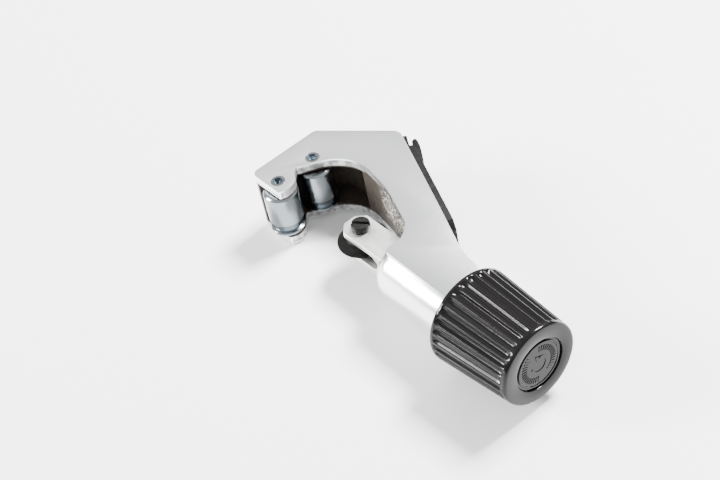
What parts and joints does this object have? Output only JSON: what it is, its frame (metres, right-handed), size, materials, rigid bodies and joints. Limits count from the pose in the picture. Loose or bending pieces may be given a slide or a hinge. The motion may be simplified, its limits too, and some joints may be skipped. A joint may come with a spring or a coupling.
{
  "type": "pipe cutter",
  "caption": "Enclosed-feed pipe cutter: die-cast C-shaped frame, grooved rollers, screw-fed cutting wheel turned by a ribbed knob, fold-out reamer and spare wheel in the knob.",
  "frame": {"origin": "centre of the largest pipe that seats on both rollers, half way through the frame's thickness", "axes": "+X along the feed screw towards the knob, +Y towards the back of the frame where the reamer folds away, +Z along the pipe"},
  "size_m": [0.1245, 0.0564, 0.033],
  "materials": {
    "chrome_casting": "bright chrome plate over a tumbled zinc casting",
    "zinc_steel": "bright bluish zinc plate over turned steel",
    "cast_zinc": "satin cast zinc with bright edges",
    "black_steel": "black oxide on steel",
    "plain_steel": "plain turned steel",
    "sintered_bronze": "oil-filled sintered bronze",
    "nylon": "matt moulded nylon",
    "black_plastic": "semi-gloss moulded plastic"
  },
  "bodies": {
    "head": {"frame": "chrome_casting", "outer_roller_pin": "zinc_steel", "inner_roller_pin": "zinc_steel", "rear_bush": "sintered_bronze", "bush_roll_pin": "plain_steel", "thrust_washer": "plain_steel", "friction_washer": "nylon", "reamer_pin": "plain_steel", "reamer_spring_washer": "plain_steel"},
    "outer_roller": {"outer_roller": "zinc_steel"},
    "inner_roller": {"inner_roller": "zinc_steel"},
    "knob": {"knob": "black_plastic", "knob_bolt": "plain_steel", "spare_wheel": "black_steel", "knob_cap": "black_plastic", "feed_screw": "plain_steel"},
    "carrier": {"wheel_carrier": "cast_zinc", "wheel_screw": "black_steel"},
    "cutting_wheel": {"cutting_wheel": "black_steel"},
    "reamer": {"reamer": "black_steel"}
  },
  "joints": [
    {"name": "knob_turn", "type": "hinge", "parent": "head", "child": "knob", "pos_m": [0.08, 0, 0], "axis": [1, 0, 0], "range_deg": [-2808, 960]},
    {"name": "carrier_feed", "type": "slide", "parent": "head", "child": "carrier", "axis": [-1, 0, 0], "range_m": [-0.0067, 0.0197]},
    {"name": "outer_roller_spin", "type": "hinge", "parent": "head", "child": "outer_roller", "pos_m": [-0.01746, -0.0075, 0], "axis": [0, 0, 1], "continuous": true},
    {"name": "inner_roller_spin", "type": "hinge", "parent": "head", "child": "inner_roller", "pos_m": [-0.01746, 0.0075, 0], "axis": [0, 0, 1], "continuous": true},
    {"name": "cutting_wheel_spin", "type": "hinge", "parent": "carrier", "child": "cutting_wheel", "pos_m": [0.0151, 0, 0], "axis": [0, 0, 1], "continuous": true},
    {"name": "reamer_fold", "type": "hinge", "parent": "head", "child": "reamer", "pos_m": [-0.00138, 0.03055, 0], "axis": [0, 0, 1], "range_deg": [0, 130]}
  ],
  "couplings": [
    {"joint": "carrier_feed", "follows": "knob_turn", "m_per_rad": -0.00039789}
  ]
}
